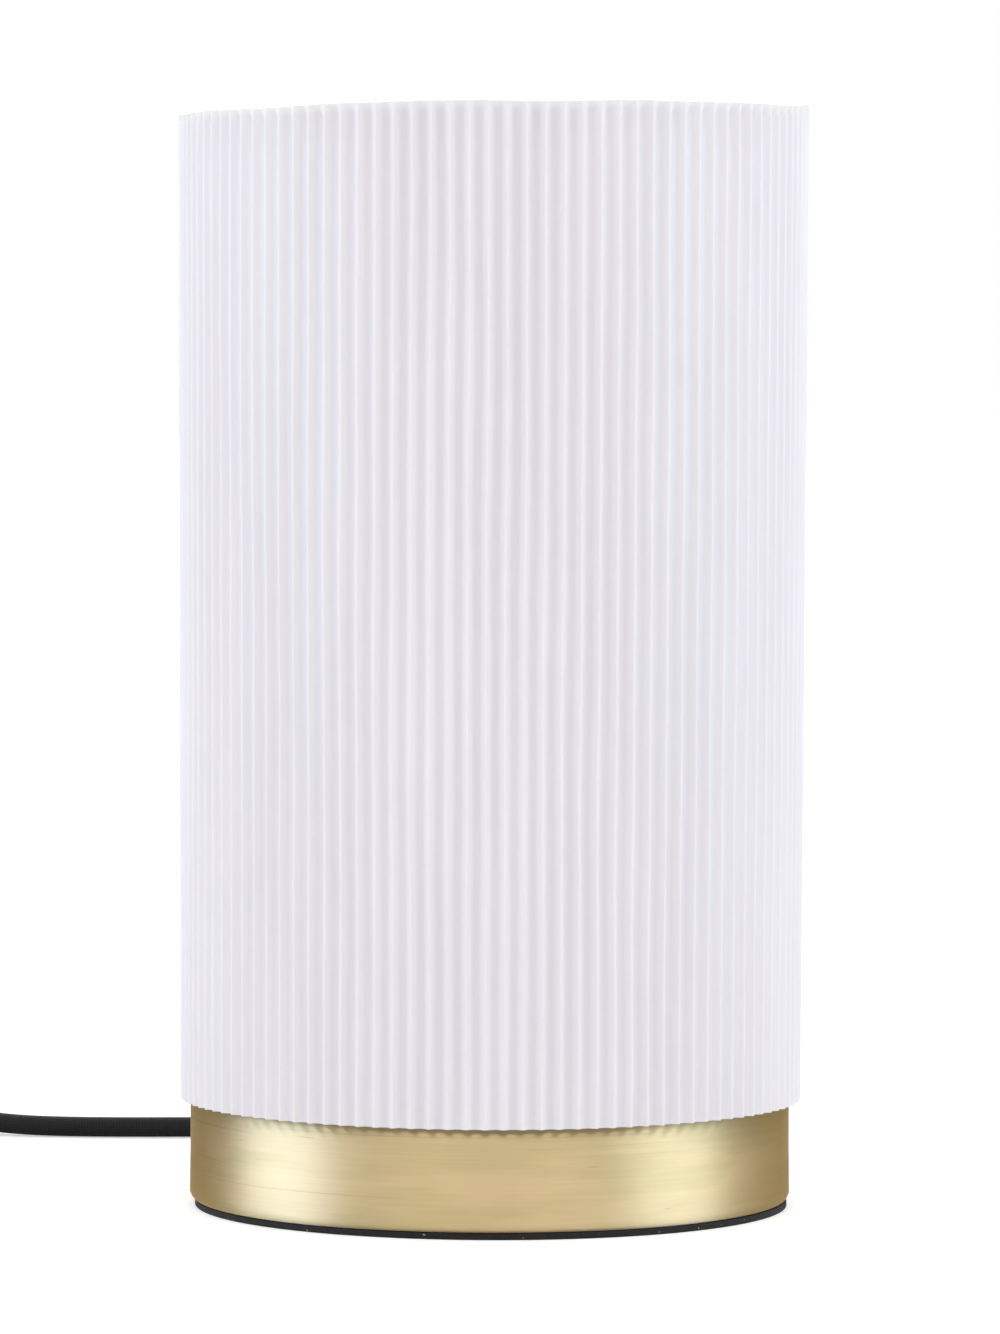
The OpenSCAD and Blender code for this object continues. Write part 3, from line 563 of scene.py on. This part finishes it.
def sweptTube(name, points, settings, nodes):
    route = smoothRoute(points, settings["step"])
    last = len(route) - 1
    headings = [(route[min(i + 1, last)] - route[max(i - 1, 0)]).normalized() for i in range(last + 1)]
    side = headings[0].cross(Vector((0, 0, 1))).normalized()
    frames = []
    for heading, previous in zip(headings, [headings[0]] + headings):
        side = (previous.rotation_difference(heading) @ side).normalized()
        frames.append((side, heading.cross(side).normalized()))

    def onTube(u, v):
        i = round(u * last)
        across, over = frames[i]
        angle = fullTurn * v
        return route[i] + settings["radius"] * (math.cos(angle) * across + math.sin(angle) * over)

    length = routeLength(route)
    bm = foldedGrid(last, settings["sides"], length, onTube)
    ends = [edge for edge in bm.edges if edge.is_boundary]
    bmesh.ops.holes_fill(bm, edges=ends, sides=settings["sides"])
    bmesh.ops.recalc_face_normals(bm, faces=bm.faces)
    print("lamp:", name, "length", round(length, 4))
    return toPiece(name, bm, nodes, 50), route, length


plugPath = leadSettings["toCoil"] + coilRoute(leadSettings) + leadSettings["toPlug"]
cordToSwitch, switchRoute, switchLength = sweptTube(
    "cordToSwitch", leadSettings["toSwitch"], leadSettings, ["cord_lead"])
cordToPlug, plugRoute, plugLength = sweptTube(
    "cordToPlug", plugPath, leadSettings, ["cord_run", "cord_coil", "cord_tail"])
print("lamp: lead laid")


# Base: a flat top, and a side that opens a little towards its rolled lower edge
baseSettings = {
    "radius": 70.2,
    "top": 38,
    "topRings": (40, 64.2),
    "shoulder": 1.4,
    "wall": 1.2,
    "lipRadius": 68.4,
    "lipHeight": 3.4,
    "lipGap": 0.4,
    "curl": 1.8,
    "flare": 0.15,
    "flareRings": ((0.6, 0), (0.4, 0), (0.25, 0.5)),
    "bore": 5.1,
    "steps": 192,
}


def makeBase(settings):
    radius, top, bore = settings["radius"], settings["top"], settings["bore"]
    shoulder, flare = settings["shoulder"], settings["flare"]
    lipR, lipZ, curl = settings["lipRadius"], settings["lipHeight"], settings["curl"]
    innerR, innerTop = radius - settings["wall"], top - settings["wall"]
    outline = [(ring, top) for ring in (bore, *settings["topRings"])]
    outline += arc(radius - shoulder, top - shoulder, shoulder, 90, 0, 6)
    outline += [(radius + share * flare, top * height) for height, share in settings["flareRings"]]
    outline += [(radius + flare, lipZ)] + arc(lipR, lipZ, curl, 0, -270, 18)[1:]
    outline += [(innerR, lipZ + curl + settings["lipGap"]), (innerR, innerTop), (bore, innerTop)]
    turned("brassCup", "base_cup", outline, settings["steps"], sharp=40)


# Pad, stuck on a little off centre
padSettings = {"radius": 69.45, "height": 1.5, "rounding": 0.3, "offset": 0.3, "steps": 192}


def makePad(settings):
    radius, height, rounding = settings["radius"], settings["height"], settings["rounding"]
    outline = [(0, 0), (radius, 0), (radius, height), (0, height)]
    place = Matrix.Translation((settings["offset"] * mm, 0, 0))
    turned("footPad", "foot_pad", outline, settings["steps"], {1: rounding, 2: rounding}, place)


makeBase(baseSettings)
makePad(padSettings)
print("lamp: base turned")


# Outlet: flange and neck in the cup's wall, then the grooved strain relief, turned and laid down
outletSettings = {
    "height": 10,
    "bore": 2.52,
    "flange": (6.3, 66.5),
    "neck": (4.6, 68.5),
    "root": (5.4, 70.2),
    "tip": (3.5, 92),
    "chamfer": (0.5, 0.6),
    "grooves": 5,
    "depth": 0.7,
    "start": 4,
    "pitch": 3.2,
    "width": 1.3,
    "slope": 0.25,
    "steps": 48,
}


def makeOutlet(settings):
    bore, depth, slope, width = (settings[key] for key in ("bore", "depth", "slope", "width"))
    flangeR, flangeY = settings["flange"]
    neckR, neckY = settings["neck"]
    rootR, rootY = settings["root"]
    tipR, tipY = settings["tip"]
    outline = [(bore, flangeY), (flangeR, flangeY), (flangeR, neckY)]
    outline += [(neckR, neckY), (neckR, rootY), (rootR, rootY)]
    for i in range(settings["grooves"]):
        near = settings["start"] + i * settings["pitch"]
        for offset, drop in ((0, 0), (slope, depth), (width - slope, depth), (width, 0)):
            share = (near + offset) / (tipY - rootY)
            outline.append((rootR + (tipR - rootR) * share - drop, rootY + near + offset))
    across, along = settings["chamfer"]
    outline += [(tipR, tipY - along), (tipR - across, tipY), (bore, tipY)]
    place = Matrix.Translation((0, 0, settings["height"] * mm)) @ alongY
    return turned("outletRelief", "lead_outlet", outline, settings["steps"], place=place, sharp=30)


outletRelief = makeOutlet(outletSettings)

# Lampholder
holderSettings = {
    "steps": 72,
    "dome": [(5, 38)] + arc(7, 50, 12, -90, 0, 12) + [(19, 56), (15.8, 56), (15.8, 47), (5, 47)],
    "domeCorners": {14: 0.3},
    "skirt": [
        (16.9, 56), (19, 56), (19, 68), (18.2, 69), (17.6, 95.1), (16.6, 96.1), (14.3, 96.1),
        (14.3, 93.1), (15.8, 93.1), (15.8, 66.3), (16.9, 66.3),
    ],
    "skirtCorners": {1: 0.3, 2: 0.3, 4: 0.5, 5: 0.4, 6: 0.4},
}
for name, node, half in (("holderDome", "holder_dome", "dome"), ("holderSkirt", "holder_skirt", "skirt")):
    turned(name, node, holderSettings[half], holderSettings["steps"], holderSettings[half + "Corners"])


# Screw threads: one pitch of the wave, swept round and up, with a plain collar at each end
threadSettings = {
    "pitch": 3.62,
    "stepsPerTurn": 48,
    "points": 8,
    "sheet": 0.35,
    "shell": {"crest": 14, "depth": 0.45, "from": 69, "turns": 5, "low": 66, "high": 93.1},
    "cap": {"crest": 13.2, "depth": 1.0, "from": 77.2, "turns": 3, "low": 76.1, "high": 93.6},
}


def threaded(name, node, settings, one):
    pitch, points, steps = settings["pitch"], settings["points"], settings["stepsPerTurn"]
    crest, depth, turns = one["crest"], one["depth"], one["turns"]
    bm = bmesh.new()
    start = []
    for i in range(points + 1):
        radius = crest - depth * (0.5 - 0.5 * math.cos(fullTurn * i / points))
        start.append(bm.verts.new((radius * mm, 0, (one["from"] + pitch * i / points) * mm)))
    edges = [bm.edges.new(pair) for pair in zip(start, start[1:])]
    bmesh.ops.spin(
        bm, geom=start + edges, cent=(0, 0, 0), axis=(0, 0, 1), dvec=(0, 0, pitch / steps * mm),
        angle=fullTurn * turns, steps=steps * turns, use_merge=False, use_duplicate=False,
    )
    bmesh.ops.remove_doubles(bm, verts=bm.verts, dist=0.01 * mm)
    middle = (one["low"] + one["high"]) / 2 * mm
    for level, side in ((one["low"], -1), (one["high"], 1)):
        rim = [
            edge for edge in bm.edges
            if edge.is_boundary and side * sum(vert.co.z for vert in edge.verts) / 2 > side * middle
        ]
        for vert in grow(bm, rim):
            flat = Vector((vert.co.x, vert.co.y, 0)).normalized() * (crest - 0.5 * depth) * mm
            vert.co = (flat.x, flat.y, level * mm)
    bmesh.ops.remove_doubles(bm, verts=bm.verts, dist=0.005 * mm)
    bmesh.ops.recalc_face_normals(bm, faces=bm.faces)
    thicken(toPiece(name, bm, [node], 60), settings["sheet"], -1)


threaded("holderShell", "screw_shell", threadSettings, threadSettings["shell"])
threaded("bulbCap", "bulb_cap", threadSettings, threadSettings["cap"])
print("lamp: lampholder made")

# Bulb
bulbSettings = {
    "bulbCollar": {
        "node": "bulb_body",
        "outline": [
            (10.2, 93.6), (13.2, 93.6), (13.6, 94.2), (13.6, 98.6), (16.7, 106.6), (27, 131.8),
            (25.5, 131.8), (25.5, 130.2), (24, 130.2), (13.7, 106.6), (10.2, 98.6),
        ],
        "corners": {1: 0.2, 2: 0.2, 3: 1.5, 4: 3},
        "steps": 96,
    },
    "bulbGlass": {
        "node": "bulb_insulator",
        "outline": [(0, 72.1), (5.4, 72.1), (11.6, 76.1), (0, 76.1)],
        "corners": {1: 0.3, 2: 0.3},
        "steps": 48,
    },
    "bulbButton": {
        "node": "bulb_contact",
        "outline": [(0, 69.9), (3.7, 69.9), (4.8, 71), (4.8, 72.1), (0, 72.1)],
        "corners": {1: 0.4, 2: 0.3},
        "steps": 48,
    },
}
for name, settings in bulbSettings.items():
    turned(name, **settings)

# Globe: two spheres cut off at the seam with the collar
globeSettings = {"outer": 30, "inner": 28.6, "middle": 144.9, "seam": 131.8, "points": 40, "steps": 96}


def makeGlobe(settings):
    outer, inner, middle = settings["outer"], settings["inner"], settings["middle"]
    cut, points = settings["seam"] - middle, settings["points"]
    outline = arc(0, middle, outer, math.degrees(math.asin(cut / outer)), 90, points)
    outline += arc(0, middle, inner, 90, math.degrees(math.asin(cut / inner)), points)
    turned("bulbGlobe", "bulb_globe", outline, settings["steps"], sharp=40)


makeGlobe(globeSettings)
print("lamp: bulb made")

# Shade: a corrugated sleeve that opens a little towards its uneven upper rim.
# Each wave says its size first; the waves of wander and depth then say how they run up and round
shadeSettings = {
    "columnsPerRib": 12,
    "rows": 30,
    "rimRows": 3,
    "low": 25.2,
    "high": 255.8,
    "crestLow": 72.7,
    "crestHigh": 73.55,
    "offset": 0.17,
    "depth": 1.4,
    "depthWaves": ((0.10, 0.6, 5), (0.07, -0.9, 17)),
    "sharpness": 2.6,
    "crowding": 0.5,
    "sheet": 0.6,
    "slant": 0.016,
    "band": 0.012,
    "bandDepth": 0.12,
    "wander": ((0.035, 1.1, 3, 0.4), (0.022, 2.3, 11, 1.7), (0.016, 4.1, 23, 0.2)),
    "wanderEase": 0.25,
    "rimWaves": ((0.22, 3, 0.6), (0.13, 7, 2.1), (0.08, 13, 4.0)),
}


def makeShade(settings):
    low, crestLow, crestHigh = settings["low"], settings["crestLow"], settings["crestHigh"]
    band, bandDepth, crowding = settings["band"], settings["bandDepth"], settings["crowding"]
    share = 1 - settings["rimRows"] / settings["rows"]

    def onSheet(u, v):
        v = v / share * (1 - band) if v <= share else 1 - band * (1 - v) / (1 - share)
        drift = sum(size * math.sin(fullTurn * (up * v + about * u) + phase)
                    for size, up, about, phase in settings["wander"])
        rib = round(ribCount * u)
        beside = ribCount * u - rib
        u = (rib + beside * (crowding + 2 * (1 - crowding) * abs(beside))) / ribCount
        angle = fullTurn * u
        wave = 0.5 + 0.5 * math.cos(fullTurn * (ribCount * u))
        fade = min(1, (1 - v) / band)
        depth = settings["depth"] * (bandDepth + (1 - bandDepth) * fade)
        depth *= 1 + sum(size * math.sin(fullTurn * (up * v + about * u))
                         for size, up, about in settings["depthWaves"])
        radius = crestLow + (crestHigh - crestLow) * v - depth * (1 - wave ** settings["sharpness"])
        ease = math.sin(math.pi / 2 * min(1, min(v, 1 - v) / settings["wanderEase"]))
        turnBy = angle + drift * fullTurn / ribCount * ease
        wavy = sum(size * math.sin(about * angle + phase) for size, about, phase in settings["rimWaves"])
        rise = settings["high"] - low + settings["slant"] * radius * math.cos(angle) + wavy
        across = settings["offset"] + radius * math.cos(turnBy)
        return Vector((across, radius * math.sin(turnBy), low + rise * v)) * mm

    bm = foldedGrid(ribCount * settings["columnsPerRib"], settings["rows"], 1, onSheet)
    bmesh.ops.recalc_face_normals(bm, faces=bm.faces)
    thicken(toPiece("ribbedShade", bm, ["shade_sleeve"], 70), settings["sheet"], -1)


makeShade(shadeSettings)

# Rings of coated wire inside the shade
ringSettings = {"radius": 68.7, "wire": 1.5, "seat": 39.8, "top": 250.6, "sides": 24, "steps": 144}


def makeRing(name, node, height, settings):
    sides = settings["sides"]
    outline = arc(settings["radius"], height, settings["wire"], 0, 360 - 360 / sides, sides - 1)
    turned(name, node, outline, settings["steps"])


makeRing("seatRing", "seat_ring", ringSettings["seat"], ringSettings)
makeRing("topRing", "top_ring", ringSettings["top"], ringSettings)
print("lamp: shade made")


# Switch and plug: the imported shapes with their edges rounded, except those at or past reach along +Y,
# which keeps the plug's grooves as they are
softenSettings = {"flat": 0.3, "sharp": 35, "segments": 3, "everywhere": 1000, "plugReach": -6.5}


def softened(name, node, width, reach=softenSettings["everywhere"]):
    bm = bmesh.new()
    bm.from_mesh(frame["nodes"][node].data)
    bmesh.ops.remove_doubles(bm, verts=bm.verts, dist=0.001 * mm)
    bmesh.ops.dissolve_limit(
        bm, angle_limit=math.radians(softenSettings["flat"]), use_dissolve_boundaries=False,
        verts=bm.verts, edges=bm.edges,
    )
    if width:
        edges = [
            edge for edge in bm.edges
            if len(edge.link_faces) == 2
            and edge.calc_face_angle(0) > math.radians(softenSettings["sharp"])
            and max(vert.co.y for vert in edge.verts) < reach * mm
        ]
        bmesh.ops.bevel(
            bm, geom=edges, offset=width * mm, offset_type="OFFSET", segments=softenSettings["segments"],
            profile=0.5, affect="EDGES", clamp_overlap=True, material=-1,
        )
    return toPiece(name, bm, [node], 40)


switchBase = softened("switchBase", "switch_base", 0.4)
switchCover = softened("switchCover", "switch_cover", 0.4)
switchRocker = softened("switchRocker", "switch_rocker", 0.3)
rockerPin = softened("rockerPin", "rocker_pin", 0)
switchScrews = softened("switchScrews", "switch_screws", 0.15)
plugBody = softened("plugBody", "plug_body", 0.6, softenSettings["plugReach"])
plugPins = softened("plugPins", "plug_pins", 0)
pinSleeves = softened("pinSleeves", "pin_sleeves", 0)


# Tie round the coil
tieSettings = {"inner": (22.35, 34.05), "height": (0.8, 22.7), "corner": 2.2, "width": 8, "band": 0.7}


def makeTie(settings):
    centreX, centreY = leadSettings["coilCentre"]
    near, far = settings["inner"]
    low, high = settings["height"]
    start = centreY - settings["width"] / 2
    rounding = {i: settings["corner"] for i in range(4)}
    outline = roundCorners([(near, low), (far, low), (far, high), (near, high)], rounding)
    bm = bmesh.new()
    loop = [bm.verts.new(((centreX + x) * mm, start * mm, z * mm)) for x, z in outline]
    edges = [bm.edges.new(pair) for pair in zip(loop, loop[1:] + loop[:1])]
    bmesh.ops.translate(bm, vec=(0, settings["width"] * mm, 0), verts=grow(bm, edges))
    bmesh.ops.recalc_face_normals(bm, faces=bm.faces)
    piece = toPiece("coilTie", bm, ["coil_tie"], 60)
    thicken(piece, settings["band"], 1)
    return piece


coilTie = makeTie(tieSettings)
print("lamp: switch, plug and tie made")

# Studio: white floor and backdrop. Matt faces get more light from the sides than from the front, and
# metal mirrors a room of its own: a bright band above, darker corners and a soft box at each side
studioSettings = {
    "floorSize": 30,
    "floorTone": 0.8,
    "floorLift": 0.38,
    "fillAcross": (
        (0, (0.88, 0.93, 0.97)), (0.15, (0.84, 0.88, 0.91)), (0.35, (0.6, 0.59, 0.58)),
        (0.65, (0.6, 0.59, 0.58)), (0.85, (0.84, 0.88, 0.91)), (1, (0.88, 0.93, 0.97)),
    ),
    "fillRise": ((0.5, (1, 1, 1)), (0.7, (1, 1, 1)), (1, (0.5, 0.5, 0.5))),
    "mirrorAlong": (
        (0, 0.1), (0.07, 0.4), (0.1, 0.52), (0.155, 0.84), (0.25, 0.46), (0.35, 0.34), (0.6, 0.32),
        (0.84, 0.7), (1, 0.6),
    ),
    "mirrorRise": ((0.5, 0.02), (0.76, 0.03), (0.78, 1), (0.85, 1), (0.87, 0.15), (1, 0.15)),
    "mirrorPeak": 9,
    "roomPeak": 2,
    "boxAim": (0, 0, 0.13),
    "boxes": (
        {"place": (-1.5, -0.06, 0.6), "size": (1.15, 1.4), "watts": 24.5, "tint": (0.8, 1.11, 1.7)},
        {"place": (1.47, -0.34, 0.6), "size": (1.15, 1.4), "watts": 23, "tint": (0.8, 1.05, 1.4)},
    ),
}


def makeFloor(settings):
    bm = bmesh.new()
    bmesh.ops.create_grid(bm, x_segments=4, y_segments=4, size=settings["floorSize"] / 2)
    mesh = bpy.data.meshes.new("floor")
    bm.to_mesh(mesh)
    bm.free()
    floor = bpy.data.objects.new("floor", mesh)
    scene.collection.objects.link(floor)
    material, tree = newTree("floorPaper")
    tone = settings["floorTone"]
    paper = put(tree, "BsdfDiffuse", {"Color": (tone, tone, tone, 1)})
    path = put(tree, "LightPath").outputs
    seen = maths(tree, "MAXIMUM", path["Is Camera Ray"], path["Is Glossy Ray"])
    seen = maths(tree, "MAXIMUM", seen, path["Is Transmission Ray"])
    lift = put(tree, "Emission", {"Strength": maths(tree, "MULTIPLY", seen, settings["floorLift"])})
    both = put(tree, "AddShader", {0: paper.outputs["BSDF"], 1: lift.outputs["Emission"]})
    close(tree, both.outputs["Shader"])
    mesh.materials.append(material)


def makeRoom(settings):
    world = bpy.data.worlds.new("room")
    scene.world = world
    world.use_nodes = True
    world.cycles.sampling_method = "NONE"
    tree = world.node_tree
    tree.nodes.clear()
    path = put(tree, "LightPath").outputs
    heading = axes(tree, put(tree, "TexCoord").outputs["Generated"])
    levels = {}
    for axis, name in (("X", "fillAcross"), ("Z", "fillRise"), ("Y", "mirrorAlong"), ("Z", "mirrorRise")):
        stops = [
            (place, tone if isinstance(tone, tuple) else (tone,) * 3) for place, tone in settings[name]
        ]
        levels[name] = ramp(tree, spread(tree, heading[axis], 0, 1, -1, 1), *stops)
    filled = blend(tree, 1, levels["fillAcross"], levels["fillRise"], "MULTIPLY")
    risen = maths(tree, "MULTIPLY", levels["mirrorRise"], settings["mirrorPeak"])
    mirrored = maths(tree, "MULTIPLY", levels["mirrorAlong"], risen)
    air = blend(tree, path["Is Glossy Ray"], filled, mirrored)
    air = blend(tree, 1, air, (settings["roomPeak"],) * 3, "MULTIPLY")
    seen = maths(tree, "MAXIMUM", path["Is Camera Ray"], path["Is Transmission Ray"])
    light = put(tree, "Background", {"Color": blend(tree, seen, air, (1, 1, 1)), "Strength": 1})
    put(tree, "OutputWorld", {"Surface": light.outputs["Background"]})


def makeBoxes(settings):
    for index, box in enumerate(settings["boxes"]):
        lamp = bpy.data.lights.new(f"softBox{index}", "AREA")
        lamp.shape = "RECTANGLE"
        lamp.size, lamp.size_y = box["size"]
        lamp.energy = box["watts"]
        lamp.color = box["tint"]
        holder = bpy.data.objects.new(f"softBox{index}", lamp)
        scene.collection.objects.link(holder)
        holder.location = box["place"]
        aim = Vector(settings["boxAim"]) - Vector(box["place"])
        holder.rotation_euler = aim.to_track_quat("-Z", "Y").to_euler()
        holder.visible_camera = False
        holder.visible_diffuse = False


makeFloor(studioSettings)
makeRoom(studioSettings)
makeBoxes(studioSettings)
scene.view_settings.view_transform = "Standard"
print("lamp: studio lit")
